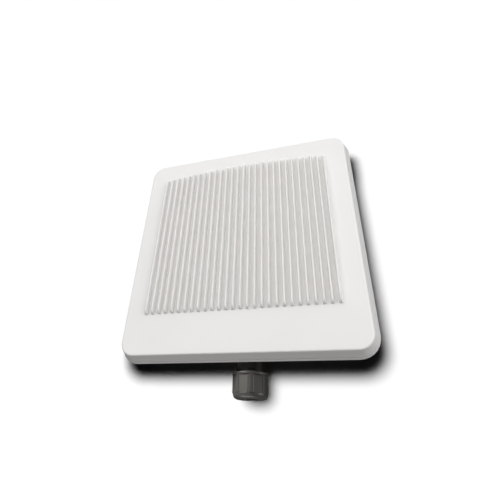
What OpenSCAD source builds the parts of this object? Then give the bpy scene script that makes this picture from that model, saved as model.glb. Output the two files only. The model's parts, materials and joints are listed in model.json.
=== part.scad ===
// Flat outdoor panel antenna unit with a ridged front cover and one cable gland.
// Millimetres. Origin: centre of the rear face. +Z points out of the ridged front,
// -Y points to the edge that carries the cable gland.
// Name endings: _w width, _r radius, _t thickness, _h height, _l length, _n count,
// _af across flats, _z height above the rear face, _at and _spots places in X and Y.

/* [Front cover] */
// Width and height of the flat front face
face_w = 240; // [238:1:244]
// Corner radius of the front face
face_r = 14; // [10:1:16]
// How far the rear lip stands out beyond the face on each side
flare = 5.6; // [5.2:0.1:6.2]
// Depth from the rear face to the flat front face
depth = 48; // [47.5:0.5:52]
// Thickness of the front face
face_t = 2.5; // [2:0.1:3]
// Thickness of the skirt
skirt_t = 2.5; // [2:0.1:2.8]

/* [Ridges] */
// Number of ridges
ridge_n = 28; // [20:1:30]
// Distance from one ridge to the next
ridge_pitch = 7.14; // [6:0.01:7.3]
// Height of a ridge above the face
ridge_h = 5; // [3:0.5:6]
// Width of a ridge at its foot
ridge_foot = 3.3; // [2.4:0.1:4]
// Width of the rounded crest
ridge_crest = 1.8; // [1.2:0.1:2.2]
// Position of the straight row of ends nearest the gland
ridge_near = -79.8; // [-90:0.1:-70]
// Position of the middle ridge's far end
ridge_far = 99.5; // [90:0.1:104]
// How much shorter the outermost ridges are at the far end
ridge_sag = 5.5; // [0:0.5:8]

/* [Rear housing] */
// Width of the rear tray where it meets the flange
tray_w = 225; // [224:0.5:226]
// Corner radius of the tray where it meets the flange
tray_r = 11; // [9:0.5:13]
// Draft of the tray on each side over its height
tray_draft = 3; // [1:0.5:4]
// Height of the flange's rear surface
flange_z = 34; // [34:0.1:34.4]
// Thickness of the flange
flange_t = 2.8; // [2.6:0.1:3]
// Wall thickness of the tray
wall = 3; // [2.6:0.1:3]

/* [Cable gland] */
// Sideways position of the gland's axis
gland_x = 6.8; // [0:0.1:12]
// Height of the gland's axis above the rear face
gland_z = 18; // [18:0.1:18.2]
// Radius of the gland's threaded neck
neck_r = 13; // [12.8:0.05:13]
// Radius of the clamping nut's rim
nut_rim_r = 17.2; // [17:0.1:18]
// Width across the flats of the clamping nut
nut_af = 32.4; // [31.6:0.1:33]
// Turn of the clamping nut's grip at rest
nut_turn = 30.5; // [0:0.5:44.5]
// Length of the clamping nut
nut_l = 22.9; // [21.5:0.1:24]
// Width across the flats of the gland's fixed hexagon and its locknut
hex_af = 29; // [27:0.5:29]
// Radius of the cable hole in the seal
cable_r = 3.25; // [2.5:0.05:4]

/* [Bracket mounting] */
// Spacing of the four rear threaded inserts
insert_pitch = 100; // [90:1:100]
// Hole radius of a threaded insert
insert_r = 2.6; // [2.05:0.05:2.8]
// Length of a threaded insert
insert_l = 8; // [6:0.5:8]

/* [Antenna] */
// Width of the reflector plate
reflector_w = 196; // [190:1:200]
// Width of one patch element
patch_w = 46; // [40:1:48]
// Spacing of the patch elements
patch_pitch = 100; // [98:1:104]
// Height of the patch elements above the reflector plate
patch_gap = 6; // [5:0.5:6.5]

/* [Electronics] */
// Width of the main board
board_w = 140; // [140:1:150]
// Thickness of the main board
board_t = 1.6; // [1.2:0.1:1.6]

/* [Hidden] */

cover_white = [0.905, 0.902, 0.892];
housing_white = [0.87, 0.87, 0.86];
spacer_white = [0.93, 0.93, 0.90];
membrane_white = [0.95, 0.95, 0.95];
ceramic = [0.86, 0.84, 0.80];
dark_nylon = [0.20, 0.195, 0.19];
seal_black = [0.13, 0.13, 0.14];
vent_black = [0.16, 0.16, 0.17];
black = [0.08, 0.08, 0.08];
dark_grey = [0.30, 0.30, 0.31];
ferrite = [0.25, 0.25, 0.27];
sleeve_blue = [0.16, 0.17, 0.22];
pad_blue = [0.62, 0.66, 0.72];
button_red = [0.75, 0.15, 0.12];
board_green = [0.08, 0.34, 0.20];
steel = [0.72, 0.72, 0.74];
jack_steel = [0.75, 0.76, 0.78];
alu = [0.80, 0.81, 0.82];
copper = [0.80, 0.50, 0.30];
gold = [0.90, 0.74, 0.36];

// Every point that pairs one of xs with one of ys
function grid(xs, ys) = [for (x = xs, y = ys) [x, y]];
function corners(x, y) = grid([-x, x], [-y, y]);

// Case
face_half = face_w / 2;
flare_rise = 14; // height over which the sides lean out by the flare
slope = flare / flare_rise;
joint_z = flange_z + flange_t;
ceiling_z = depth - face_t;
tray_half = tray_w / 2;
tray_corner = tray_half - tray_r; // centre of the tray's corner arcs

// Machine screws of the cover and the reflector
screw_r = 1.5;
hole_r = 1.55;
clear_r = 1.7;
head_r = 2.75;
head_h = 2;

// Two screws at each side and one at each corner
corner_at = 115.8;
side_at = 119;
side_off = 40;
cover_spots = concat(corners(corner_at, corner_at), corners(side_at, side_off),
  corners(side_off, side_at));
insert_spots = corners(insert_pitch / 2, insert_pitch / 2);

// Antenna
reflector_z = 30;
reflector_top = reflector_z + 1.5;
patch_z = reflector_top + patch_gap;
patch_t = 1;
post_z = 8; // foot of the reflector's standoffs
post_spots = corners(88, 88);
patch_spots = corners(patch_pitch / 2, patch_pitch / 2);
spacer_spots = corners(16, 16); // from a patch's centre
feed_at = [0, -12]; // from a patch's centre

// Main board
board_z = 12;
board_top = board_z + board_t;
board_y0 = -85;
board_y1 = 40;
board_spots = grid([-64, 64], [board_y0 + 6, board_y1 - 6]);

// Wall parts; their places are X and height on the outer wall face
wall_y = -113;
pad_t = 7; // depth of the gland and vent pads
gland_at = [gland_x, gland_z];
vent_at = [-45, 16];
ground_at = [52, 16];

// -------------------------------------------------------------------- helpers

// Outline of a rounded square
function round_pts(half, r, steps = 7) =
  [for (q = [0:3], i = [0:steps])
    let (a = 90 * q + 90 * i / steps, sx = (q == 0 || q == 3) ? 1 : -1, sy = (q < 2) ? 1 : -1)
    [sx * (half - r) + r * cos(a), sy * (half - r) + r * sin(a)]];

module prism(half, r, z0, z1) {
  translate([0, 0, z0]) linear_extrude(z1 - z0) polygon(round_pts(half, r));
}

// Thin rounded square, one station of a hull
module slab(half, r, z) {
  translate([0, 0, z]) linear_extrude(0.01) polygon(round_pts(half, r));
}

// Slab that stands out from the front face's outline
module face_slab(out, z) {
  slab(face_half + out, face_r + out, z);
}

// Slab whose corners share the tray's arc centres
module tray_slab(half, z) {
  slab(half, half - tray_corner, z);
}

// Rounded frame, its two sides set out from the tray's outline
module tray_ring(outer, inner, z0, z1) {
  difference() {
    prism(tray_half + outer, tray_r + outer, z0, z1);
    prism(tray_half + inner, tray_r + inner, z0 - 1, z1 + 1);
  }
}

// Round bar along Z
module rod(r, z0, z1, fn = 32) {
  translate([0, 0, z0]) cylinder(r = r, h = z1 - z0, $fn = fn);
}

module tube(r, bore_r, z0, z1, fn = 32) {
  difference() {
    rod(r, z0, z1, fn);
    rod(bore_r, z0 - 1, z1 + 1, fn);
  }
}

// Box centred in X and Y; it stands on the main board unless z is given
module block(size, z = board_top) {
  translate([-size[0] / 2, -size[1] / 2, z]) cube(size);
}

// Repeats the children at each spot
module place(spots) {
  for (p = spots) translate([p[0], p[1], 0]) children();
}

// Places children with +Z pointing outward, starting at the outer wall face
module on_wall(spot) {
  translate([spot[0], wall_y, spot[1]]) rotate([90, 0, 0]) children();
}

// Pan-head screw pointing down, its head's bearing face at z = 0
module screw(l, r = screw_r, head_r = head_r, head_h = head_h) {
  socket_r = head_r * 0.45;
  socket_z = head_h * 0.45;
  difference() {
    union() {
      rod(r, -l, 0.2);
      rod(head_r, 0, head_h);
    }
    rod(socket_r, socket_z, head_h + 1, 6);
  }
}

// ---------------------------------------------------------------- front cover

// How far the flared side stands out beyond the face at a height
function lean(z) = slope * (depth - z);

// Far end of the ridge at x
function far_at(x) = ridge_far - ridge_sag * pow(x / (ridge_pitch * (ridge_n - 1) / 2), 2);

// Flared skirt with a rounded edge round the face
module cover_outer() {
  hull() {
    face_slab(lean(joint_z), joint_z);
    face_slab(lean(depth - 1.8), depth - 1.8);
    face_slab(-0.15, depth - 0.9);
    face_slab(-0.7, depth - 0.3);
    face_slab(-1.5, depth - 0.01);
  }
}

module cover_inner() {
  foot_z = joint_z - 1;
  hull() {
    slab(face_half + lean(foot_z) - skirt_t, face_r + lean(joint_z) - skirt_t, foot_z);
    slab(face_half + lean(ceiling_z) - skirt_t, face_r - skirt_t + 1, ceiling_z - 0.01);
  }
}

// One ridge: a narrow wall with a rounded crest and quarter-round ends
module ridge(x) {
  near = ridge_near;
  far = far_at(x);
  crest_r = ridge_crest / 2;
  foot = ridge_foot / 2;
  intersection() {
    // cross-section, run along Y
    translate([x, far + 1, depth]) rotate([90, 0, 0]) linear_extrude(far - near + 2)
      polygon(concat([[-foot, -0.6], [-foot, 0.1]],
        [for (i = [0:4]) [-crest_r * cos(45 * i), ridge_h - crest_r + crest_r * sin(45 * i)]],
        [[foot, 0.1], [foot, -0.6]]));
    // side view, run along X
    translate([x - ridge_foot, 0, depth]) rotate([90, 0, 90]) linear_extrude(2 * ridge_foot)
      polygon(concat([[near, -1]],
        [for (i = [0:3]) [near + ridge_h * (1 - cos(30 * i)), ridge_h * sin(30 * i)]],
        [for (i = [3:-1:0]) [far - ridge_h * (1 - cos(30 * i)), ridge_h * sin(30 * i)]],
        [[far, -1]]));
  }
}

module front_cover() {
  boss_r = 3.2;
  hole_l = 6.2;
  color(cover_white) difference() {
    union() {
      difference() {
        cover_outer();
        cover_inner();
      }
      // tongue that presses on the gasket
      tray_ring(2.9, 1.1, joint_z + 0.8, ceiling_z + 0.2);
      // screw bosses, trimmed by the flared outside
      intersection() {
        cover_outer();
        place(cover_spots) rod(boss_r, joint_z, ceiling_z + 0.2);
      }
      for (i = [0:ridge_n - 1]) ridge((i - (ridge_n - 1) / 2) * ridge_pitch);
    }
    place(cover_spots) rod(hole_r, joint_z - 1, joint_z + hole_l);
  }
}

// --------------------------------------------------------------- rear housing

// Half width of the tray at a height
function tray_at(z) = tray_half - tray_draft * (flange_z - z) / flange_z;

module tray_outer() {
  hull() {
    tray_slab(tray_at(0) - 2.4, 0);
    tray_slab(tray_at(0) - 0.7, 0.75);
    tray_slab(tray_at(2.6), 2.6);
    tray_slab(tray_half, flange_z + 0.3);
  }
}

module tray_inner() {
  hull() {
    tray_slab(tray_at(wall) - wall, wall);
    tray_slab(tray_half - wall, joint_z + 1);
  }
}

// The rim leans back to meet the foot of the cover's flared skirt
module flange_plate() {
  hull() {
    face_slab(flare - 0.9, flange_z);
    face_slab(flare - 0.2, flange_z + 0.25);
    face_slab(flare, flange_z + 0.6);
    face_slab(flare - 1.1, joint_z - 0.01);
  }
}

module rear_housing() {
  gland_pad_w = 36;
  gland_pad_z = 2;
  boss_z = wall - 0.5; // bosses start inside the floor
  recess_half = 30;
  recess_r = 4;
  recess_depth = 0.5;
  color(housing_white) difference() {
    union() {
      difference() {
        union() {
          tray_outer();
          flange_plate();
        }
        tray_inner();
      }
      // thick wall pads for the gland, the vent and the earth screw
      translate([gland_x - gland_pad_w / 2, wall_y, gland_pad_z])
        cube([gland_pad_w, pad_t, flange_z - 1.5]);
      on_wall(vent_at) rod(9, -pad_t, 0, 48);
      on_wall(ground_at) rod(7.5, -12, 0, 48);
      // bosses on the floor
      place(insert_spots) rod(8, boss_z, 10.5, 48);
      place(post_spots) rod(5, boss_z, post_z);
      place(board_spots) rod(3.6, boss_z, board_z);
    }
    // gasket groove
    tray_ring(3.3, 0.7, joint_z - 1.6, joint_z + 1);
    // screw and insert holes
    place(cover_spots) rod(clear_r, flange_z - 1, joint_z + 1);
    place(insert_spots) rod(4.5, -1, insert_l + 0.5, 48);
    place(post_spots) rod(hole_r, 2, post_z + 1);
    place(board_spots) rod(1.3, 5, board_z + 1);
    // wall openings
    on_wall(gland_at) rod(12.6, -20, 10, 64);
    on_wall(vent_at) rod(4.05, -20, 10, 40);
    on_wall(ground_at) rod(3.55, -10, 2, 40);
    // shallow blank recess between the bracket inserts
    prism(recess_half, recess_r, -1, recess_depth);
  }
}

module cover_gasket() {
  color(black) tray_ring(3.2, 0.8, joint_z - 1.58, joint_z + 0.78);
}

// These point up, with their heads behind the flange
module cover_screws() {
  color(steel) place(cover_spots)
    translate([0, 0, flange_z - 0.02]) rotate([180, 0, 0]) screw(l = 8.4);
}

// Each insert has a narrower waist at mid length
module mount_inserts() {
  body_r = 4.48;
  waist_r = 4.1;
  mid = insert_l / 2;
  color(gold) place(insert_spots) difference() {
    union() {
      rod(body_r, 0, mid - 0.5, 48);
      rod(waist_r, mid - 0.6, mid + 0.6, 48);
      rod(body_r, mid + 0.5, insert_l, 48);
    }
    rod(insert_r, -1, insert_l + 1, 40);
  }
}

// -------------------------------------------------------------------- antenna

spacer_r = 2.8;
spacer_pin_r = 1.2;
spacer_hole_r = 1.3;
coax_r = 0.9;
core_r = 0.5;
coax_z = 23; // height of the pigtails' level run
// Connectors on the board, in the same order as patch_spots
rf_spots = grid([-58, 58], [-40, 14]);

module reflector_plate() {
  z0 = reflector_z - 1;
  z1 = reflector_top + 1;
  color(alu) difference() {
    prism(reflector_w / 2, 6, reflector_z, reflector_top);
    place(post_spots) rod(clear_r, z0, z1);
    place(patch_spots) place(spacer_spots) rod(spacer_hole_r, z0, z1, 24);
    place(patch_spots) place([feed_at]) rod(2, z0, z1);
  }
}

// Hexagonal posts with a stud below and a threaded hole above
module reflector_standoffs() {
  color(steel) place(post_spots) difference() {
    union() {
      rod(4.04, post_z, reflector_z, 6);
      rod(screw_r, 3.6, post_z + 0.2);
    }
    rod(hole_r, reflector_z - 8, reflector_z + 1);
  }
}

module reflector_screws() {
  color(steel) place(post_spots) translate([0, 0, reflector_top]) screw(l = 7.5);
}

// Squares with clipped corners
module patch_elements() {
  side = patch_w / 2;
  clip = side - 5;
  color(copper) place(patch_spots) difference() {
    translate([0, 0, patch_z]) linear_extrude(patch_t)
      polygon([[side, clip], [clip, side], [-clip, side], [-side, clip],
        [-side, -clip], [-clip, -side], [clip, -side], [side, -clip]]);
    place(spacer_spots) rod(spacer_hole_r, patch_z - 1, patch_z + 2, 24);
    place([feed_at]) rod(0.7, patch_z - 1, patch_z + 2, 24);
  }
}

module patch_spacers() {
  color(spacer_white) place(patch_spots) place(spacer_spots) union() {
    rod(spacer_r, reflector_top, patch_z, 24);
    rod(spacer_pin_r, reflector_z - 0.8, patch_z + patch_t + 1, 24);
  }
}

// One coaxial pigtail: up from the board, across, and up through the reflector
module pigtail(start, end) {
  span = end - start;
  place([start]) rod(coax_r, board_top + 2.6, coax_z, 20);
  place([start, end]) translate([0, 0, coax_z]) sphere(r = 1.05, $fn = 20);
  translate([start[0], start[1], coax_z]) rotate([0, 90, atan2(span[1], span[0])])
    rod(coax_r, 0, norm(span), 20);
  place([end]) {
    rod(coax_r, coax_z, reflector_top + 0.5, 20);
    rod(core_r, reflector_top + 0.4, patch_z + 1.6, 20);
  }
}

module coax_pigtails() {
  color(black) for (i = [0:3]) pigtail(rf_spots[i], patch_spots[i] + feed_at);
}

module rf_connectors() {
  color(gold) place(rf_spots) difference() {
    union() {
      block([3.6, 3.6, 0.8]);
      rod(1.5, board_top + 0.7, board_top + 2.5, 24);
    }
    rod(1.0, board_top + 1.6, board_top + 3, 24);
  }
}

// ---------------------------------------------------------------- electronics

can_spots = [[-35, 16], [35, 16]];
can_w = 28;
can_h = 4;
can_t = 0.4;
can_vents = [-9:4.5:9]; // rows and columns of the holes in a can's top
cpu_at = [0, -10];
cpu_w = 14;
cpu_h = 1.4;
pad_h = 1;
sink_w = 34;
memory_spots = [[-30, -14], [30, -14]];
jack_at = [gland_x, -73.5];
jack_mouth_at = [gland_x, -78.5];
contact_pitch = 1.02;
network_transformer_at = [gland_x, -50];
poe_at = [-34, -50];
poe_z = board_top + 0.6;
capacitor_spots = [[34, -44], [34, -56], [45, -50]];
inductor_spots = [[-14, -42], [-14, -54]];
arrester_spots = [[24, -73], [34, -73]];
reset_at = [-14, -78];

module main_board() {
  color(board_green) difference() {
    translate([-board_w / 2, board_y0, board_z]) cube([board_w, board_y1 - board_y0, board_t]);
    place(board_spots) rod(1.4, board_z - 1, board_top + 1);
  }
}

module board_screws() {
  color(steel) place(board_spots) translate([0, 0, board_top])
    screw(l = 8, r = 1.25, head_r = 2.3, head_h = 1.7);
}

module shield_cans() {
  inner_w = can_w - 2 * can_t;
  color(steel) place(can_spots) difference() {
    block([can_w, can_w, can_h]);
    block([inner_w, inner_w, can_h - can_t + 1], board_top - 1);
    place(grid(can_vents, can_vents)) rod(0.9, board_top + 3, board_top + 5, 16);
  }
}

module radio_chips() {
  color(black) place(can_spots) block([9, 9, 1.1]);
}

module processor() {
  color(black) place([cpu_at]) block([cpu_w, cpu_w, cpu_h]);
}

module thermal_pad() {
  color(pad_blue) place([cpu_at]) block([cpu_w, cpu_w, pad_h], board_top + cpu_h);
}

module heat_sink() {
  sink_z = board_top + cpu_h + pad_h;
  fin_pitch = 4;
  color(alu) place([cpu_at]) union() {
    block([sink_w, sink_w, 1.6], sink_z);
    place([for (i = [-4:4]) [i * fin_pitch, 0]]) block([1.2, sink_w, 6], sink_z + 1.5);
  }
}

module memory_chips() {
  color(black) place(memory_spots) block([8, 12, 1.1]);
}

// The mouth opens toward -Y, with a narrower slot below it
module network_jack() {
  color(jack_steel) difference() {
    place([jack_at]) block([16.2, 21, 13.4]);
    place([jack_mouth_at]) block([11.8, 16, 6.7], board_top + 3.2);
    place([jack_mouth_at]) block([6.2, 16, 2], board_top + 1.4);
  }
}

module jack_contacts() {
  color(gold) place([for (i = [0:7]) [gland_x + (i - 3.5) * contact_pitch, -70.65]])
    block([0.4, 0.3, 6.5], board_top + 3.3);
}

module network_transformer() {
  color(black) place([network_transformer_at]) block([15, 12, 5.4]);
}

// Block with two windows along Y for the coil
module poe_transformer_core() {
  color(ferrite) place([poe_at]) difference() {
    block([20, 16, 12], poe_z);
    place([[-4.9, 0], [4.9, 0]]) block([4.2, 18, 7], poe_z + 2.5);
  }
}

module poe_transformer_coil() {
  color(copper) place([poe_at]) difference() {
    block([13.6, 19.6, 6.6], poe_z + 2.7);
    block([5.7, 16.1, 8], poe_z + 2);
  }
}

module capacitors() {
  color(sleeve_blue) place(capacitor_spots) rod(4, board_top, board_top + 11.5);
}

// Square blocks with a round waist
module inductors() {
  color(dark_grey) place(inductor_spots) difference() {
    block([8, 8, 4.2]);
    tube(5.8, 3.2, board_top + 0.9, board_top + 3.3);
  }
}

// Cylinders along Y with a wider cap on each end
module surge_arresters() {
  cap_r = 2.6;
  color(ceramic) place(arrester_spots)
    translate([0, 0, board_top + cap_r]) rotate([90, 0, 0]) union() {
      rod(2.3, -3, 3, 28);
      for (end = [-3, 3]) rod(cap_r, end - 0.6, end + 0.6, 28);
    }
}

module reset_switch() {
  color(black) place([reset_at]) difference() {
    block([6, 6, 3.5]);
    rod(1.75, board_top + 2, board_top + 5);
  }
}

module reset_button() {
  color(button_red) place([reset_at]) rod(1.7, board_top + 2.35, board_top + 5.2);
}

// ---------------------------------------------------------------- cable gland

// Distances along the axis, outward from the wall face
washer_t = 1.5;
hex_out = 7;
neck_out = 34;
nut_in = 19.9;
nut_out = nut_in + nut_l;
seal_in = 22;
seal_out = 32;
locknut_l = 5;

hex_r = hex_af / 2 / cos(30);
shank_r = 12.4;
shank_hole_r = 12.45;

module gland_body() {
  color(dark_nylon) on_wall(gland_at) difference() {
    union() {
      rod(shank_r, -14, 2, 64);
      rod(hex_r, washer_t, hex_out, 6);
      rod(neck_r, hex_out - 0.5, neck_out, 64);
    }
    rod(9.4, -15, 45, 48);
    // wider seat for the seal
    rod(10.6, seal_in - 0.1, neck_out + 8, 48);
  }
}

module gland_washer() {
  color(black) on_wall(gland_at) tube(15, shank_hole_r, 0, washer_t, 64);
}

module gland_locknut() {
  color(dark_nylon) on_wall(gland_at) difference() {
    rod(hex_r, -pad_t - locknut_l, -pad_t, 6);
    rod(shank_hole_r, -pad_t - locknut_l - 1, -pad_t + 1, 64);
  }
}

module gland_seal() {
  color(seal_black) on_wall(gland_at) tube(10.5, cable_r, seal_in, seal_out, 48);
}

// Slotted clamping ring between the seal and the nut
module gland_claw() {
  slot_w = 0.8;
  // radius, distance along the axis
  profile = [[4.2, 32.1], [10.4, 32.1], [10.4, 36], [8.3, 39.4], [4.2, 39.4]];
  color(dark_grey) on_wall(gland_at) difference() {
    rotate_extrude($fn = 48) polygon(profile);
    for (i = [0:7]) rotate(45 * i + 22.5) translate([5, -slot_w / 2, 34]) cube([8, slot_w, 8]);
  }
}

module gland_nut() {
  bore_r = neck_r + 0.06;
  mouth_r = 8.6;
  rim_l = 2.7;
  grip_r = nut_rim_r - 0.35;
  dome_r = 10.4; // radius at which the end's rounding starts
  dome_h = 5;
  groove_r = 0.9;
  groove_turn = 6.4; // from the middle of a corner
  color(dark_nylon) on_wall(gland_at) difference() {
    union() {
      // rim with rounded edges
      rotate_extrude($fn = 72) polygon([[12, nut_in], [nut_rim_r - 1, nut_in],
        [nut_rim_r - 0.3, nut_in + 0.3], [nut_rim_r, nut_in + 1], [nut_rim_r, nut_in + 2],
        [nut_rim_r - 0.3, nut_in + 2.5], [nut_rim_r - 0.9, nut_in + rim_l],
        [12, nut_in + rim_l]]);
      // eight-sided grip with rounded corners and a domed end
      intersection() {
        rotate(nut_turn) rod(nut_af / 2 / cos(22.5), nut_in + 2, nut_out, 8);
        rotate_extrude($fn = 72) polygon(concat(
          [[0, nut_in + 1], [grip_r, nut_in + 1], [grip_r, nut_out - 5.4]],
          [for (i = [0:5]) [dome_r + (nut_rim_r - 0.7 - dome_r) * cos(18 * i),
            nut_out - dome_h + dome_h * sin(18 * i)]],
          [[0, nut_out]]));
      }
    }
    // a groove on each side of each rounded corner
    for (i = [0:7], side = [-1, 1]) rotate(nut_turn + 45 * i + groove_turn * side)
      translate([nut_rim_r + 0.1, 0, 0]) rod(groove_r, nut_in + rim_l, nut_out - 5.3, 24);
    // bore, tapering to the mouth
    rod(bore_r, nut_in - 1, nut_out - 5.8, 64);
    rotate_extrude($fn = 64) polygon([[0, nut_out - 5.9], [bore_r, nut_out - 5.9],
      [mouth_r, nut_out - 2.1], [mouth_r, nut_out + 1], [0, nut_out + 1]]);
  }
}

// ------------------------------------------------- vent and earth connection

// Cap on a hollow stem, with four slots under the cap's outer surface
module vent_body() {
  slot_w = 1.8;
  color(vent_black) on_wall(vent_at) difference() {
    union() {
      rod(7, 1, 3.2, 40);
      rod(4, -8.6, 1.3, 40);
    }
    rod(2.6, -10, 1.4);
    for (i = [0:3]) rotate(90 * i) translate([0, -slot_w / 2, 1.6]) cube([5.4, slot_w, 0.8]);
  }
}

module vent_membrane() {
  color(membrane_white) on_wall(vent_at) rod(3.4, -9, -8.65);
}

module vent_seal() {
  color(black) on_wall(vent_at) tube(6, 4.05, 0, 1, 40);
}

module ground_insert() {
  color(gold) on_wall(ground_at) difference() {
    rod(3.5, -9, 0, 40);
    rod(2.05, -8, 1, 40);
  }
}

module ground_washer() {
  color(steel) on_wall(ground_at) tube(5, 2.15, 0, 1, 40);
}

// Screw with a cross slot in its head
module ground_screw() {
  slot_w = 1.2;
  color(steel) on_wall(ground_at) difference() {
    union() {
      rod(2, -6.5, 1.5);
      rod(4, 1, 4, 40);
    }
    block([slot_w, 10, 3], 3);
    block([10, slot_w, 3], 3);
  }
}

front_cover();
rear_housing();
cover_gasket();
cover_screws();
mount_inserts();
reflector_plate();
reflector_standoffs();
reflector_screws();
patch_elements();
patch_spacers();
coax_pigtails();
rf_connectors();
main_board();
board_screws();
shield_cans();
radio_chips();
processor();
thermal_pad();
heat_sink();
memory_chips();
network_jack();
jack_contacts();
network_transformer();
poe_transformer_core();
poe_transformer_coil();
capacitors();
inductors();
surge_arresters();
reset_switch();
reset_button();
gland_body();
gland_washer();
gland_locknut();
gland_seal();
gland_claw();
gland_nut();
vent_body();
vent_membrane();
vent_seal();
ground_screw();
ground_washer();
ground_insert();
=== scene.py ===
"""A square housing with a ridged cover and a cable gland, on a studio floor.

It lies on its back, centred on the origin: the ridged face looks up (+Z), +X is right and +Y
is far from the camera. The gland sticks out of the near wall, along -Y. Sizes of the modelled
parts are in millimetres; lights, textures and bevels are in metres.
"""
import bpy, bmesh, json, math
from mathutils import Matrix, Vector

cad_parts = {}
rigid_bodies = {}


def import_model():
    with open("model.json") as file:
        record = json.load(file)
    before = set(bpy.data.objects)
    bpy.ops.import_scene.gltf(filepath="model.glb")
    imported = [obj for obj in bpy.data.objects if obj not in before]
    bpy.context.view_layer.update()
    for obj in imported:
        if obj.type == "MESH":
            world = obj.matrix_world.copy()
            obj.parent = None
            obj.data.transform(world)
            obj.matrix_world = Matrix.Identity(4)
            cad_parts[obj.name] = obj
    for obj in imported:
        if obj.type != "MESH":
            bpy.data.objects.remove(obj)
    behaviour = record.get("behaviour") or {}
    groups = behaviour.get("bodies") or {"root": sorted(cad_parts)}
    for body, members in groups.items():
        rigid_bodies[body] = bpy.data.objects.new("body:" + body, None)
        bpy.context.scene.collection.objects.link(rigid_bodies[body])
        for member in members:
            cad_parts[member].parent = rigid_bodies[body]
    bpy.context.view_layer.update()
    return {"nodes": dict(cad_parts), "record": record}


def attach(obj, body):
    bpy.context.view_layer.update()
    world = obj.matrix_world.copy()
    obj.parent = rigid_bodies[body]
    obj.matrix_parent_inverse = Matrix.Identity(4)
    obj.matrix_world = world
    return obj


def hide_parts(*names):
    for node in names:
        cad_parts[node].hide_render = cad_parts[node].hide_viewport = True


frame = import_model()
scene = bpy.context.scene
record = frame["record"]
body_of = {node: body for body, nodes in record["behaviour"]["bodies"].items() for node in nodes}
slot_of = {part["node"]: part["material_slot"] for part in record["subparts"]}

MM = 0.001
FACE_Z = 48.0           # height of the cover's flat face, between the ridges


# ------------------------------------------------------------------ materials

class NodeMaterial:
    """A procedural material, built up around one Principled shader."""

    def __init__(self, name):
        self.material = bpy.data.materials.new(name)
        self.material.use_nodes = True
        self.tree = self.material.node_tree
        self.tree.nodes.clear()
        output = self.node("ShaderNodeOutputMaterial")
        self.shader = self.node("ShaderNodeBsdfPrincipled")
        self.feed(self.shader.outputs[0], output.inputs[0])
        self.coords = self.node("ShaderNodeTexCoord").outputs["Object"]

    def node(self, kind, **settings):
        node = self.tree.nodes.new(kind)
        for key, value in settings.items():
            setattr(node, key, value)
        return node

    def feed(self, value, socket):
        """Give a socket a number, a colour or a link."""
        if isinstance(value, (int, float)):
            socket.default_value = value
        elif isinstance(value, tuple):
            socket.default_value = (*value, 1.0)
        else:
            self.tree.links.new(value, socket)

    def put(self, key, value):
        self.feed(value, self.shader.inputs[key])

    def noise(self, scale, detail, rough, stretch=None):
        node = self.node("ShaderNodeTexNoise")
        node.inputs["Scale"].default_value = scale
        node.inputs["Detail"].default_value = detail
        node.inputs["Roughness"].default_value = rough
        coords = self.coords
        if stretch is not None:
            mapping = self.node("ShaderNodeMapping")
            mapping.inputs["Scale"].default_value = stretch
            self.feed(coords, mapping.inputs["Vector"])
            coords = mapping.outputs[0]
        self.feed(coords, node.inputs["Vector"])
        return node.outputs["Fac"]

    def voronoi(self, scale, feature="F1"):
        node = self.node("ShaderNodeTexVoronoi", feature=feature)
        node.inputs["Scale"].default_value = scale
        self.feed(self.coords, node.inputs["Vector"])
        return node.outputs["Distance"]

    def span(self, value, low, high, from_low=0.3, from_high=0.7):
        """Map from_low..from_high to low..high."""
        node = self.node("ShaderNodeMapRange")
        node.inputs["From Min"].default_value = from_low
        node.inputs["From Max"].default_value = from_high
        node.inputs["To Min"].default_value = low
        node.inputs["To Max"].default_value = high
        self.feed(value, node.inputs["Value"])
        return node.outputs[0]

    def maths(self, operation, first, second):
        node = self.node("ShaderNodeMath", operation=operation)
        self.feed(first, node.inputs[0])
        self.feed(second, node.inputs[1])
        return node.outputs[0]

    def mix(self, factor, first, second):
        node = self.node("ShaderNodeMix", data_type="RGBA")
        self.feed(factor, node.inputs[0])
        self.feed(first, node.inputs[6])        # 6 and 7 are the colour inputs
        self.feed(second, node.inputs[7])
        return node.outputs[2]

    def bump(self, height, strength, distance):
        """Add a bump on top of any earlier one."""
        node = self.node("ShaderNodeBump")
        node.inputs["Strength"].default_value = strength
        node.inputs["Distance"].default_value = distance
        self.feed(height, node.inputs["Height"])
        normal = self.shader.inputs["Normal"]
        if normal.is_linked:
            self.feed(normal.links[0].from_socket, node.inputs["Normal"])
        self.feed(node.outputs[0], normal)


# The pale plastics return little bounced light from their sides and back, so the shadow under
# the part stays deep; above BOUNCE_LEVEL, on the ridged face, they return nearly all of it.
BOUNCE_HELD = ("cover_plastic", "housing_plastic")
BOUNCE_LEVEL = (FACE_Z - 0.2) * MM
BOUNCE_BELOW = (0.03, 0.03, 0.03)
BOUNCE_ABOVE = (0.70, 0.675, 0.652)


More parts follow.
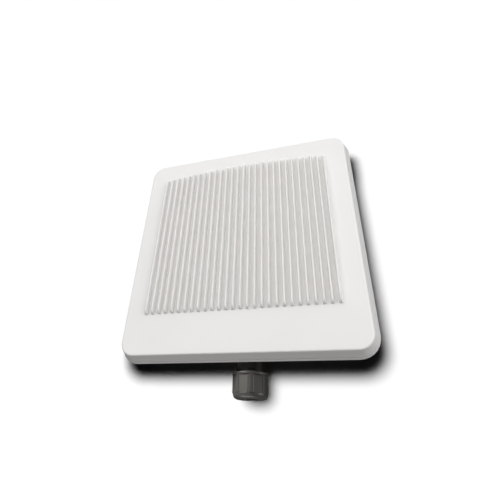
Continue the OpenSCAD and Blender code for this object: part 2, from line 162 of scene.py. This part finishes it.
def moulded(name, base, dark, rough, grain, depth, tint, specular):
    """Moulded plastic: fine spark grain, faint cloudy tone, roughness that varies with both."""
    m = NodeMaterial(name)
    cloud = m.noise(scale=18.0, detail=4.0, rough=0.6)
    fine = m.noise(scale=grain, detail=2.0, rough=0.6)
    colour = m.mix(m.span(cloud, low=0.0, high=tint), base, dark)
    if name in BOUNCE_HELD:
        axes = m.node("ShaderNodeSeparateXYZ")
        m.feed(m.coords, axes.inputs[0])
        above = m.maths("GREATER_THAN", axes.outputs[2], BOUNCE_LEVEL)
        bounced = m.mix(above, BOUNCE_BELOW, BOUNCE_ABOVE)
        colour = m.mix(m.node("ShaderNodeLightPath").outputs["Is Diffuse Ray"], colour, bounced)
    m.put("Base Color", colour)
    m.put("Roughness", m.span(m.maths("ADD", cloud, fine), low=rough - 0.05, high=rough + 0.07,
                              from_low=0.7, from_high=1.3))
    m.put("Specular IOR Level", specular)
    m.bump(fine, strength=0.35, distance=depth)
    m.bump(m.voronoi(scale=grain * 0.6), strength=0.15, distance=depth)
    return m.material


def rubber(name, base, light, rough):
    """Matt rubber with a cloudy bloom."""
    m = NodeMaterial(name)
    bloom = m.noise(scale=90.0, detail=5.0, rough=0.65)
    fine = m.noise(scale=3000.0, detail=2.0, rough=0.6)
    m.put("Base Color", m.mix(m.span(bloom, low=0.0, high=0.5), base, light))
    m.put("Roughness", m.span(bloom, low=rough - 0.06, high=rough + 0.12))
    m.put("Specular IOR Level", 0.35)
    m.bump(fine, strength=0.4, distance=2e-5)
    return m.material


def metal(name, base, dark, rough, stretch):
    """Metal with fine brushed lines; the stretch sets their direction."""
    m = NodeMaterial(name)
    lines = m.noise(scale=900.0, detail=2.0, rough=0.5, stretch=stretch)
    cloud = m.noise(scale=60.0, detail=4.0, rough=0.6)
    m.put("Base Color", m.mix(m.span(cloud, low=0.0, high=0.6), base, dark))
    m.put("Metallic", 1.0)
    m.put("Roughness", m.span(lines, low=rough - 0.07, high=rough + 0.12))
    m.bump(lines, strength=0.2, distance=1e-5)
    return m.material


def circuit_board(name):
    """Solder mask over copper: fine routed traces and vias."""
    m = NodeMaterial(name)
    brick = m.node("ShaderNodeTexBrick")
    brick.inputs["Scale"].default_value = 420.0
    brick.inputs["Mortar Size"].default_value = 0.03
    brick.inputs["Brick Width"].default_value = 3.1
    brick.inputs["Row Height"].default_value = 0.42
    m.feed(m.coords, brick.inputs["Vector"])
    traces = brick.outputs["Fac"]
    via_radius = 0.13       # in cells of the Voronoi pattern
    via = m.maths("LESS_THAN", m.voronoi(scale=330.0), via_radius)
    mask = m.mix(traces, (0.012, 0.100, 0.045), (0.025, 0.190, 0.085))
    cloud = m.noise(scale=120.0, detail=3.0, rough=0.6)
    mask = m.mix(m.span(cloud, low=0.0, high=0.35), mask, (0.010, 0.070, 0.035))
    m.put("Base Color", m.mix(via, mask, (0.55, 0.50, 0.36)))
    via_metallic = 0.8
    m.put("Metallic", m.maths("MULTIPLY", via, via_metallic))
    m.put("Roughness", m.span(cloud, low=0.22, high=0.36))
    m.bump(traces, strength=0.3, distance=3e-5)
    return m.material


def membrane(name):
    m = NodeMaterial(name)
    web = m.voronoi(scale=4200.0, feature="F2")
    m.put("Base Color", m.mix(web, (0.82, 0.82, 0.80), (0.93, 0.93, 0.92)))
    m.put("Roughness", m.span(web, low=0.7, high=0.95, from_low=0.0, from_high=1.0))
    m.bump(web, strength=0.5, distance=3e-5)
    return m.material


def wound_wire(name):
    """Enamelled copper wire, laid turn by turn."""
    m = NodeMaterial(name)
    wave = m.node("ShaderNodeTexWave", wave_type="BANDS", bands_direction="Z")
    wave.inputs["Scale"].default_value = 620.0
    wave.inputs["Distortion"].default_value = 0.4
    m.feed(m.coords, wave.inputs["Vector"])
    turns = wave.outputs["Fac"]
    m.put("Base Color", m.mix(turns, (0.30, 0.11, 0.04), (0.72, 0.33, 0.15)))
    m.put("Metallic", 0.85)
    m.put("Roughness", m.span(turns, low=0.42, high=0.25, from_low=0.0, from_high=1.0))
    m.bump(turns, strength=0.6, distance=1e-4)
    return m.material


# name, base colour, darker colour, roughness, grain scale, grain depth, share of dark, specular
MOULDED = (
    ("cover_plastic", (0.815, 0.806, 0.795), (0.775, 0.766, 0.755), 0.46, 2400.0, 2e-5, 0.30, 0.4),
    ("housing_plastic", (0.760, 0.752, 0.745), (0.715, 0.707, 0.700),
     0.52, 2000.0, 3e-5, 0.35, 0.4),
    ("gland_nylon", (0.068, 0.064, 0.060), (0.050, 0.047, 0.045), 0.40, 1700.0, 4e-5, 0.7, 0.5),
    ("claw_grey", (0.13, 0.13, 0.135), (0.095, 0.095, 0.10), 0.48, 1900.0, 4e-5, 0.7, 0.4),
    ("vent_black", (0.035, 0.035, 0.037), (0.026, 0.026, 0.028), 0.45, 2100.0, 4e-5, 0.7, 0.4),
    ("nylon_white", (0.78, 0.77, 0.72), (0.70, 0.69, 0.63), 0.38, 1500.0, 3e-5, 0.5, 0.4),
    ("chip_black", (0.022, 0.022, 0.024), (0.035, 0.035, 0.036), 0.55, 3200.0, 3e-5, 0.6, 0.4),
    ("ferrite", (0.045, 0.045, 0.050), (0.070, 0.068, 0.068), 0.42, 1300.0, 5e-5, 0.9, 0.6),
    ("ceramic_white", (0.74, 0.72, 0.67), (0.66, 0.64, 0.60), 0.22, 900.0, 2e-5, 0.4, 0.6),
    ("button_red", (0.42, 0.030, 0.020), (0.30, 0.020, 0.015), 0.40, 2300.0, 3e-5, 0.5, 0.4),
    ("capacitor_sleeve", (0.020, 0.024, 0.045), (0.030, 0.034, 0.055),
     0.30, 1100.0, 3e-5, 0.5, 0.4),
)
# name, base colour, bloom colour, roughness
RUBBERS = (
    ("rubber_black", (0.016, 0.016, 0.016), (0.036, 0.036, 0.036), 0.62),
    ("cable_black", (0.014, 0.014, 0.015), (0.030, 0.030, 0.031), 0.5),
    ("pad_grey", (0.33, 0.37, 0.44), (0.42, 0.45, 0.50), 0.7),
)
# name, base colour, darker colour, roughness, stretch of the brushed lines
METALS = (
    ("steel", (0.58, 0.58, 0.60), (0.44, 0.44, 0.46), 0.30, (1, 1, 60)),
    ("brass", (0.72, 0.52, 0.24), (0.56, 0.39, 0.17), 0.30, (1, 1, 60)),
    ("aluminium", (0.72, 0.73, 0.74), (0.60, 0.61, 0.62), 0.36, (60, 1, 1)),
    ("gold_finish", (0.83, 0.60, 0.25), (0.70, 0.49, 0.19), 0.22, (1, 1, 60)),
    ("copper_finish", (0.75, 0.37, 0.20), (0.58, 0.26, 0.13), 0.32, (1, 60, 1)),
)
materials = {}
for build, rows in ((moulded, MOULDED), (rubber, RUBBERS), (metal, METALS)):
    for row in rows:
        materials[row[0]] = build(*row)
materials["board_green"] = circuit_board("board_green")
materials["membrane_white"] = membrane("membrane_white")
coil_material = wound_wire("coil_wire")


# --------------------------------------------------------------- mesh helpers

CORNER_STEPS = 12


def add_object(name, data):
    ob = bpy.data.objects.new(name, data)
    scene.collection.objects.link(ob)
    return ob


def finish_shell(node, bm, slot, sharp):
    """Make the mesh that stands in for a CAD node; edges over `sharp` degrees stay crisp."""
    bmesh.ops.remove_doubles(bm, verts=bm.verts[:], dist=1e-7)
    bmesh.ops.recalc_face_normals(bm, faces=bm.faces[:])
    limit = math.radians(sharp)
    for face in bm.faces:
        face.smooth = True
    for edge in bm.edges:
        if len(edge.link_faces) == 2 and edge.calc_face_angle(0.0) > limit:
            edge.smooth = False
    mesh = bpy.data.meshes.new(node + "_shell")
    bm.to_mesh(mesh)
    bm.free()
    ob = add_object(node + "_shell", mesh)
    mesh.materials.append(materials[slot])
    weighted = ob.modifiers.new("weighted", "WEIGHTED_NORMAL")
    weighted.keep_sharp = True
    weighted.weight = 80
    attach(ob, body_of[node])
    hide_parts(node)


def rounded_square(half, radii):
    """Outline from +X round to -Y; one radius each for far right, far left, near left, near right."""
    points = []
    signs = ((1, 1), (-1, 1), (-1, -1), (1, -1))
    for quarter, ((sx, sy), radius) in enumerate(zip(signs, radii)):
        centre = half - radius
        for i in range(CORNER_STEPS + 1):
            a = math.radians(90 * quarter + 90 * i / CORNER_STEPS)
            points.append((sx * centre + radius * math.cos(a), sy * centre + radius * math.sin(a)))
    return points


def add_ring(bm, points):
    return [bm.verts.new((x * MM, y * MM, z * MM)) for x, y, z in points]


def skin(bm, first, second):
    """Join two closed rings with quads."""
    for i in range(len(first)):
        j = (i + 1) % len(first)
        bm.faces.new((first[i], first[j], second[j], second[i]))


# ------------------------------------------------------------- the ridged cover

FACE_HALF = 120.0               # half width where the face and skirt planes meet
SKIRT_SLOPE = 5.6 / 14.0        # the skirt's flare over its height
SKIRT_BOTTOM_Z = 37.05
CORNER_CENTRE = FACE_HALF - 14.0
EDGE_RADIUS = 1.7               # rounding between face and skirt
EDGE_STEPS = 7
CEILING_Z = 45.5                # inside of the cover
RIB_CORNER_CENTRE = 101.5

RIDGE_COUNT, RIDGE_PITCH, RIDGE_HEIGHT = 28, 7.14, 5.0
RIDGE_FOOT = 1.65               # half width at the foot
CREST_RADIUS = 0.90
NEAR_END_Y = -79.8
FAR_END_Y, FAR_SAG = 99.5, 5.5  # the far ends lie on a curve: middle, and drop at the last ridge
LAST_RIDGE_X = RIDGE_PITCH * (RIDGE_COUNT - 1) / 2
END_LEAD, END_STEP = 0.55, 0.34     # the small ramp before a ridge's end: length and height
MIDDLE_SPANS = 9
BEYOND_ENDS = 20.0              # an end distance at which the ends no longer matter

# distances across a ridge from its middle line, and along it from its end
ACROSS = [0, 0.28, 0.50, 0.68, 0.80, 0.88, 1.00, 1.20, 1.42, 1.60, 1.76, 1.95, 2.20, 2.45]
ALONG = [-1.2, -0.56, -0.35, -0.12, 0.0, 0.02, 0.10, 0.26, 0.5, 0.85, 1.3, 1.9, 2.7, 3.6, 4.6,
         5.3, 6.2, 8.0]


def crest_profile(u):
    """Height of a ridge at a distance u from its middle line."""
    u = abs(u)
    centre_z = RIDGE_HEIGHT - CREST_RADIUS
    flank_u = CREST_RADIUS * 0.96
    if u < flank_u:
        return centre_z + math.sqrt(CREST_RADIUS * CREST_RADIUS - u * u)
    if u >= RIDGE_FOOT + 0.75:
        return 0.0
    flank_z = centre_z + math.sqrt(CREST_RADIUS * CREST_RADIUS - flank_u * flank_u)
    flank = 0.0
    if u < RIDGE_FOOT:
        flank = flank_z * (1 - (u - flank_u) / (RIDGE_FOOT - flank_u))
    fillet_size = 0.55
    d = u - (RIDGE_FOOT + 0.10)
    fillet = 0.5 * (math.sqrt(d * d + fillet_size * fillet_size) - d) * 0.55
    return max(flank, fillet)


def end_profile(v):
    """Height limit at a distance v inside the end of a ridge: a quarter round."""
    r = RIDGE_HEIGHT
    if v < -END_LEAD:
        return 0.0
    if v < 0:
        t = (v + END_LEAD) / END_LEAD
        return END_STEP * t * t
    if v < r:
        return END_STEP + (1 - END_STEP / r) * math.sqrt(r * r - (r - v) ** 2)
    return r + (v - r) * 0.6


def ridge_height(u, v):
    """The lower of the two profiles, with the crease between them softened."""
    crest, end = crest_profile(u), end_profile(v)
    if crest <= 0.0 or end <= 0.0:
        return 0.0
    blend = min(0.9, crest, end)
    overlap = max(blend - abs(crest - end), 0.0) / blend
    return min(crest, end) - overlap * overlap * blend * 0.25


def ridge_columns():
    """(x, distance from the ridge's middle line); None halfway between ridges."""
    across = [-u for u in ACROSS[:0:-1]] + ACROSS
    columns = [(-(LAST_RIDGE_X + RIDGE_PITCH / 2), None)]
    for i in range(RIDGE_COUNT):
        middle = RIDGE_PITCH * (i - (RIDGE_COUNT - 1) / 2)
        columns += [(middle + u, u) for u in across]
        columns.append((middle + RIDGE_PITCH / 2, None))
    return columns


def ridge_row_place(kind, v, x):
    """(y, distance inside the nearer ridge end) of a row where it crosses x."""
    far_y = FAR_END_Y - FAR_SAG * (x / LAST_RIDGE_X) ** 2
    if kind == "near":
        return NEAR_END_Y + v, v
    if kind == "far":
        return far_y - v, v
    start, stop = NEAR_END_Y + ALONG[-1], far_y - ALONG[-1]
    return start + (stop - start) * v, BEYOND_ENDS


def add_ridge_field(bm):
    """Build the ridged sheet and return its border loop."""
    columns = ridge_columns()
    rows = [("near", v) for v in ALONG]
    rows += [("middle", k / MIDDLE_SPANS) for k in range(1, MIDDLE_SPANS)]
    rows += [("far", v) for v in reversed(ALONG)]
    grid = []
    for kind, v in rows:
        line = []
        for x, u in columns:
            y, inside = ridge_row_place(kind, v, x)
            height = 0.0 if u is None else ridge_height(u, inside)
            line.append((x, y, FACE_Z + height))
        grid.append(add_ring(bm, line))
    for a, b in zip(grid[:-1], grid[1:]):
        for i in range(len(columns) - 1):
            bm.faces.new((a[i], a[i + 1], b[i + 1], b[i]))
    return (grid[0] + [line[-1] for line in grid[1:]] + grid[-1][-2::-1]
            + [line[0] for line in grid[-2:0:-1]])


def skirt_rings():
    """(half width, z) from the face, over the rounded edge, down the skirt and up inside it."""
    lean = math.atan(SKIRT_SLOPE)
    arc_half = FACE_HALF - EDGE_RADIUS * math.tan((math.pi / 2 - lean) / 2)
    # a flat ring just inside the rounded edge keeps the face's shading flat
    rings = [(arc_half - 1.2, FACE_Z)]
    for k in range(EDGE_STEPS + 1):
        a = math.pi / 2 + (lean - math.pi / 2) * k / EDGE_STEPS
        rings.append((arc_half + EDGE_RADIUS * math.cos(a),
                      FACE_Z - EDGE_RADIUS + EDGE_RADIUS * math.sin(a)))
    bottom = SKIRT_BOTTOM_Z
    half = FACE_HALF + SKIRT_SLOPE * (FACE_Z - bottom)
    return rings + [
        (half - SKIRT_SLOPE * 0.9, bottom + 0.9), (half - 0.10, bottom + 0.36),
        (half - 0.16, bottom + 0.12), (half - 0.40, bottom), (half - 2.3, bottom),
        (half - 2.5, bottom + 0.25), (118.6, 44.9), (118.0, CEILING_Z)]


# (half width, z) of the rib that hangs from the ceiling inside the skirt, outer side first
RIB_RINGS = (
    (115.9, CEILING_Z), (115.4, 45.2), (115.3, 37.9), (115.1, 37.66),
    (113.9, 37.66), (113.7, 37.9), (113.6, 45.2), (113.1, CEILING_Z))


def build_cover():
    bm = bmesh.new()
    border = add_ridge_field(bm)
    rings = []
    for centre, stations in ((CORNER_CENTRE, skirt_rings()), (RIB_CORNER_CENTRE, RIB_RINGS)):
        for half, z in stations:
            outline = rounded_square(half, (half - centre,) * 4)
            rings.append(add_ring(bm, [(x, y, z) for x, y in outline]))
    for a, b in zip(rings[:-1], rings[1:]):
        skin(bm, a, b)
    bm.faces.new(rings[-1])
    # flat face between the ridge field and the rounded edge
    edges = []
    for loop in (border, rings[0]):
        for i in range(len(loop)):
            edges.append(bm.edges.get((loop[i], loop[(i + 1) % len(loop)])))
    bmesh.ops.triangle_fill(bm, edges=edges, use_beauty=True, normal=(0, 0, 1))
    finish_shell("front_cover", bm, "cover_plastic", sharp=50.0)


build_cover()


# ---------------------------------------------------------------- cable gland
# Turned parts are listed as (radius, s): s runs outward (-Y) along the gland's axis from the
# housing's near wall. A radius may be a function of the angle about the axis.

GLAND_X, GLAND_Z, WALL_Y = 6.8, 18.0, -113.0


def revolve(bm, rows, angles):
    """Turn a closed profile about the gland's axis."""
    rings = []
    for radius, s in rows:
        points = []
        for a in angles:
            r = radius(a) if callable(radius) else radius
            points.append((GLAND_X + r * math.cos(a), WALL_Y - s, GLAND_Z + r * math.sin(a)))
        rings.append(add_ring(bm, points))
    for i in range(len(rings)):
        skin(bm, rings[i], rings[(i + 1) % len(rings)])


def corner_offset(a, step, turn=0.0):
    """Degrees from the nearest corner of a polygon with a corner at every `step` degrees."""
    return abs((math.degrees(a) - turn + step / 2) % step - step / 2)


def polygon_radius(apothem, offset, step):
    return apothem / math.cos(math.radians(step / 2 - offset))


NUT_STEP, NUT_TURN = 45.0, 30.5         # eight-sided grip: degrees per side, and its turn
NUT_APOTHEM, NUT_CORNER_R = 16.2, 16.85
NUT_INNER_S, NUT_OUTER_S = 19.9, 42.8
RIM_RADIUS, RIM_ROUND = 17.2, 1.0
DOME_RADIUS, CROWN_RADIUS = 16.25, 10.6     # the domed end, at its foot and its top
# degrees from a corner at which the nut has vertices, close together across the groove
NUT_OFFSETS = [0, 2.0, 3.1, 3.7, 4.3, 5.0, 5.7, 6.4, 7.1, 7.8, 8.5, 9.1, 9.8, 12, 15, 18.5, 22.5]


def grip(a):
    """Radius of the grip: eight flats, with a groove on each side of each rounded corner."""
    offset = corner_offset(a, NUT_STEP, NUT_TURN)
    r = min(polygon_radius(NUT_APOTHEM, offset, NUT_STEP), NUT_CORNER_R)
    groove_depth, groove_middle, groove_half = 0.50, 6.4, 2.7
    across = (offset - groove_middle) / groove_half
    return r - groove_depth * max(0.0, 1.0 - across ** 2) ** 0.8


def grip_end(a):
    """The grip, eased a little towards a circle."""
    share, circle = 0.9, 16.2
    return grip(a) * share + circle * (1 - share)


def relief(depth):
    """The grip with a shallow cut across each flat, where it meets the rim."""
    def radius(a):
        offset = corner_offset(a, NUT_STEP, NUT_TURN)
        return grip(a) - depth * min(max((offset - 6.0) / 2.5, 0.0), 1.0)
    return radius


def build_nut():
    bm = bmesh.new()
    offsets = [-x for x in NUT_OFFSETS[-2:0:-1]] + NUT_OFFSETS
    angles = [math.radians(NUT_TURN + 45 * k + offset) for k in range(8) for offset in offsets]
    inner, outer = NUT_INNER_S, NUT_OUTER_S
    rim_flat = RIM_RADIUS - RIM_ROUND
    rows = [(13.7, inner), (rim_flat, inner)]
    for k in range(1, 7):
        t = math.radians(90 * k / 6)
        rows.append((rim_flat + RIM_ROUND * math.sin(t),
                     inner + RIM_ROUND - RIM_ROUND * math.cos(t)))
    rows.append((RIM_RADIUS, inner + 1.8))
    for k in range(1, 6):
        t = math.radians(90 * k / 5)
        rows.append((RIM_RADIUS - 0.4 + 0.4 * math.cos(t), inner + 2.0 + 0.5 * math.sin(t)))
    # the flats start beside the rim with a small sharp step
    rows += [(relief(0.40), inner + 2.60), (relief(0.50), inner + 2.80),
             (relief(0.42), inner + 3.05)]
    rows += [(grip, inner + s) for s in (3.35, 6.5, 10.0, 13.5)]
    dome = outer - 5.0
    rows += [(grip, dome - 0.45), (grip_end, dome - 0.22), (16.15, dome - 0.05),
             (DOME_RADIUS, dome + 0.15)]
    for k in range(1, 12):
        t = math.radians(90 * k / 11)
        rows.append((CROWN_RADIUS + (DOME_RADIUS - CROWN_RADIUS) * math.cos(t) ** 0.76,
                     dome + 0.15 + 4.85 * math.sin(t)))
    # over the mouth and back through the bore
    rows += [(9.5, outer), (9.0, outer - 0.12), (8.72, outer - 0.5), (8.66, outer - 2.1),
             (13.10, outer - 5.9), (13.10, inner + 1.0), (13.3, inner + 0.4)]
    revolve(bm, rows, angles)
    finish_shell("gland_nut", bm, "gland_nylon", sharp=24.0)


build_nut()

BODY_SEGMENTS = 144
HEX_STEP, HEX_APOTHEM = 60.0, 14.5
THREAD_RADIUS, THREAD_DEPTH, THREAD_PITCH = 12.98, 0.62, 1.5
THREAD_START_S, THREAD_LAST_S, THREAD_STEP = 19.4, 33.1, 0.25


def hexagon(cap):
    """Hexagon with its corners cut back to the radius `cap`."""
    def radius(a):
        return min(polygon_radius(HEX_APOTHEM, corner_offset(a, HEX_STEP), HEX_STEP), cap)
    return radius


def thread(depth, s):
    def radius(a):
        phase = ((s - THREAD_PITCH * a / (2 * math.pi)) / THREAD_PITCH) % 1.0
        triangle = abs(phase - 0.5) * 2.0
        cut = min(max((triangle - 0.28) / 0.44, 0.0), 1.0)
        return THREAD_RADIUS - depth * cut
    return radius


def build_gland_body():
    bm = bmesh.new()
    angles = [2 * math.pi * i / BODY_SEGMENTS for i in range(BODY_SEGMENTS)]
    # end inside the housing, and the neck through its wall
    rows = [(9.42, -13.6), (9.8, -14.0), (12.0, -14.0), (12.38, -13.6),
            (12.38, -8.0), (12.38, 0.2), (12.38, 1.5)]
    # (corner radius, s) of the hexagonal flange
    for cap, s in ((15.2, 1.5), (16.0, 1.75), (16.72, 2.3), (16.72, 6.2), (16.0, 6.75), (15.2, 7.0)):
        rows.append((hexagon(cap), s))
    rows += [(13.5, 7.0), (13.12, 7.15)]
    rows += [(THREAD_RADIUS, s) for s in (7.5, 12.0, 18.0, THREAD_START_S)]
    s = THREAD_START_S
    while s < THREAD_LAST_S:
        s += THREAD_STEP
        fade = min((s - THREAD_START_S) / 1.5, 1.0, (33.4 - s) / 0.8)
        rows.append((thread(THREAD_DEPTH * max(fade, 0.0), s), s))
    # outer end and the stepped bore
    rows += [(12.9, 33.5), (12.5, 34.0), (11.0, 34.0), (10.62, 33.6), (10.62, 21.92),
             (9.42, 21.92)]
    revolve(bm, rows, angles)
    finish_shell("gland_body", bm, "gland_nylon", sharp=30.0)


build_gland_body()


# ------------------------------------------------------- carried-over CAD nodes

for name, ob in frame["nodes"].items():
    slot = slot_of[name]
    ob.data.materials.clear()
    ob.data.materials.append(coil_material if name == "poe_transformer_coil" else materials[slot])
    for polygon in ob.data.polygons:
        polygon.material_index = 0

# bevel widths in metres
BEVEL_WIDTHS = {
    "rear_housing": 0.0007, "vent_body": 0.0004, "ground_screw": 0.0003,
    "cover_screws": 0.00025, "ground_washer": 0.0002, "gland_claw": 0.0003,
    "mount_inserts": 0.0002, "gland_washer": 0.0003,
}
for name, width in BEVEL_WIDTHS.items():
    modifiers = frame["nodes"][name].modifiers
    weld = modifiers.new("weld", "WELD")
    weld.merge_threshold = 2e-6
    bevel = modifiers.new("bevel", "BEVEL")
    bevel.width = width
    bevel.segments = 3
    bevel.limit_method = "ANGLE"
    bevel.angle_limit = math.radians(38)
    bevel.use_clamp_overlap = True
    bevel.harden_normals = False
    weighted = modifiers.new("weighted", "WEIGHTED_NORMAL")
    weighted.keep_sharp = False
    weighted.weight = 60


# ------------------------------------------------------------ floor and camera

def floor_material():
    """Pale to the camera, dark to bounced light."""
    m = NodeMaterial("studio_floor")
    cloud = m.noise(scale=3.0, detail=2.0, rough=0.5)
    pale = m.mix(m.span(cloud, low=0.0, high=0.3), (0.93, 0.93, 0.93), (0.915, 0.915, 0.915))
    seen = m.node("ShaderNodeLightPath").outputs["Is Camera Ray"]
    m.put("Base Color", m.mix(seen, (0.06, 0.06, 0.06), pale))
    m.put("Roughness", 0.9)
    m.put("Specular IOR Level", 0.1)
    return m.material


floor_mesh = bpy.data.meshes.new("studio_floor")
floor_bm = bmesh.new()
bmesh.ops.create_grid(floor_bm, x_segments=2, y_segments=2, size=6.0)
floor_bm.to_mesh(floor_mesh)
floor_bm.free()
floor = add_object("studio_floor", floor_mesh)
floor.location = (0, 0, -0.0003)
floor_mesh.materials.append(floor_material())

# The middle of the face as the camera sees it: mm to the right, down and ahead; and the turns
# that take the world's axes to the camera's right, down and ahead.
FACE_FROM_CAMERA = Vector((3.83992712, 2.67338325, 372.394196))
CAMERA_TURNS = (("Z", -0.118066285), ("Y", 0.263622587), ("X", 2.59164658))

camera_data = bpy.data.cameras.new("camera")
camera = add_object("camera", camera_data)
scene.camera = camera
camera_data.sensor_width = 36.0
camera_data.lens = 24.963696
camera_data.shift_x, camera_data.shift_y = 0.0287054, -0.0307428
camera_data.clip_start, camera_data.clip_end = 0.01, 50.0

turn_z, turn_y, turn_x = (Matrix.Rotation(angle, 3, axis) for axis, angle in CAMERA_TURNS)
view = turn_z @ turn_y @ turn_x
place = -(view.transposed() @ FACE_FROM_CAMERA)
pose = Matrix((Vector(view[0]), -Vector(view[1]), -Vector(view[2]))).transposed().to_4x4()
pose.translation = Vector((place.x * MM, place.y * MM, (place.z + FACE_Z) * MM))
camera.matrix_world = pose


# --------------------------------------------------------------------- lights

white_coll, gland_coll, floor_coll, nut_coll, neck_coll = (
    bpy.data.collections.new(part + "_receivers")
    for part in ("product", "gland", "floor", "nut", "neck"))
for ob in list(scene.objects):
    if ob.type != "MESH":
        continue
    if ob is floor:
        floor_coll.objects.link(ob)
    elif ob.name.startswith("gland_"):
        gland_coll.objects.link(ob)
        (nut_coll if ob.name.startswith("gland_nut") else neck_coll).objects.link(ob)
    else:
        white_coll.objects.link(ob)


def add_light(name, kind, place, power, colour, receivers):
    data = bpy.data.lights.new(name, kind)
    data.energy = power
    data.color = colour
    ob = add_object(name, data)
    ob.location = place
    ob.light_linking.receiver_collection = receivers
    return ob


def aim(ob, direction):
    ob.rotation_euler = direction.to_track_quat("-Z", "Y").to_euler()


WHITE = (1.0, 1.0, 1.0)
PRODUCT = (0.0, 0.0, 0.03)
GLAND = (0.007, -0.14, 0.02)
NECK = (0.007, -0.13, 0.02)
# name, place, target, width, height, power, colour, receivers
PANELS = (
    # broad soft panels for the pale parts, strongest overhead and on the right
    ("top_panel", (0.0, 0.58, 1.40), (0.0, 0.58, 0.0), 4.6, 2.0, 27.6, WHITE, white_coll),
    ("key_panel", (1.75, 0.20, 1.30), PRODUCT, 1.4, 2.2, 22.4, WHITE, white_coll),
    ("right_panel", (1.80, 0.95, 0.50), PRODUCT, 1.4, 0.7, 6.4, WHITE, white_coll),
    ("left_panel", (-1.05, 0.40, 1.95), PRODUCT, 1.4, 1.6, 10.4, WHITE, white_coll),
    ("back_panel", (-0.35, 1.90, 1.20), PRODUCT, 1.8, 1.2, 10.4, WHITE, white_coll),
    ("front_panel", (-0.2, -1.95, 0.45), PRODUCT, 1.2, 0.7, 6.8, WHITE, white_coll),
    # the dark gland has its own key from the far left, and weaker fills
    ("gland_key", (-0.80, 0.80, 0.98), GLAND, 0.50, 0.50, 47.0, (1.0, 0.980, 0.960), gland_coll),
    ("gland_front", (-0.30, -1.50, 0.28), GLAND, 1.2, 0.6, 15.0, (1.0, 0.97, 0.94), gland_coll),
    ("gland_right", (1.25, -0.30, 0.10), GLAND, 0.5, 0.5, 9.2, (1.0, 0.99, 0.98), nut_coll),
    ("neck_light", (-0.55, -0.80, 1.05), NECK, 0.6, 0.5, 3.1, (1.0, 0.99, 0.97), neck_coll),
    ("neck_rim", (1.40, -0.26, 0.03), NECK, 0.12, 0.12, 1.6, WHITE, neck_coll),
)
for name, place, target, width, height, power, colour, receivers in PANELS:
    panel = add_light(name, "AREA", place, power, colour, receivers)
    panel.data.shape = "RECTANGLE"
    panel.data.size = width
    panel.data.size_y = height
    panel.visible_camera = False
    aim(panel, Vector(target) - panel.location)

# The floor's own light comes from the far left and throws the soft shadow to the near right.
# name, angle across in degrees, strength
FLOOR_SUNS = (("floor_light", 21, 2.45), ("floor_light_wide", 31, 1.30))
floor_suns = []
for name, angle, strength in FLOOR_SUNS:
    sun = add_light(name, "SUN", (0, 0, 2), strength, WHITE, floor_coll)
    sun.data.angle = math.radians(angle)
    aim(sun, Vector((0.27, -0.305, -1.0)))
    floor_suns.append(sun)

# Flat flags near the height of the cover's lower edge cast the floor's shadow: the outline
# (rounder at the near right corner), pieces that carry it out to the near left and far right
# corners, and one above the gland's axis, so that the gland's shadow is as soft as the rest.
# name, height, (x, y) points
FLAGS = (
    ("outline_flag", 35, rounded_square(125.4, (19.6, 19.6, 19.6, 26.0))),
    ("corner_flag", 34, ((-152, -103), (-145.5, -117), (-130, -125.2), (-100, -125.2),
                         (-100, -30), (-130, -30), (-149.5, -72))),
    ("far_flag", 34, ((100, 125), (103, 135), (111, 141.5), (121, 141), (127.5, 133),
                      (127.5, 110), (125.4, 80), (100, 80))),
    ("gland_flag", 34, ((-13.2, -100), (-13.2, -143), (-9, -148), (-2, -149.5), (8, -149.5),
                        (13, -148), (16.5, -142), (16.5, -100))),
)


def add_flag(name, z, points):
    """A studio flag: seen by the floor's light and by nothing else."""
    mesh = bpy.data.meshes.new(name)
    corners = [(x * MM, y * MM, z * MM) for x, y in points]
    mesh.from_pydata(corners, [], [tuple(range(len(points)))])
    ob = add_object(name, mesh)
    mesh.materials.append(floor_mesh.materials[0])
    ob.visible_camera = ob.visible_diffuse = ob.visible_glossy = ob.visible_transmission = False
    return ob


flags = [add_flag(*row) for row in FLAGS]
floor_blockers = bpy.data.collections.new("floor_blockers")
open_air = bpy.data.collections.new("open_air")
for ob in flags:
    floor_blockers.objects.link(ob)
for ob in list(scene.objects):
    if ob.type == "MESH" and ob not in flags:
        open_air.objects.link(ob)
for ob in list(scene.objects):
    if ob.type == "LIGHT":
        ob.light_linking.blocker_collection = floor_blockers if ob in floor_suns else open_air

# the world is white to the camera and gives almost no light
world = bpy.data.worlds.new("studio")
scene.world = world
world.use_nodes = True
world_tree = world.node_tree
background = world_tree.nodes["Background"]
background.inputs[0].default_value = (1.0, 1.0, 1.0, 1.0)
light_path = world_tree.nodes.new("ShaderNodeLightPath")
strength = world_tree.nodes.new("ShaderNodeMapRange")
strength.inputs["To Min"].default_value = 0.0006
strength.inputs["To Max"].default_value = 1.0
world_tree.links.new(light_path.outputs["Is Camera Ray"], strength.inputs["Value"])
world_tree.links.new(strength.outputs[0], background.inputs[1])

scene.view_settings.view_transform = "Standard"
scene.view_settings.look = "None"
scene.view_settings.exposure = 0.0
scene.view_settings.gamma = 1.0
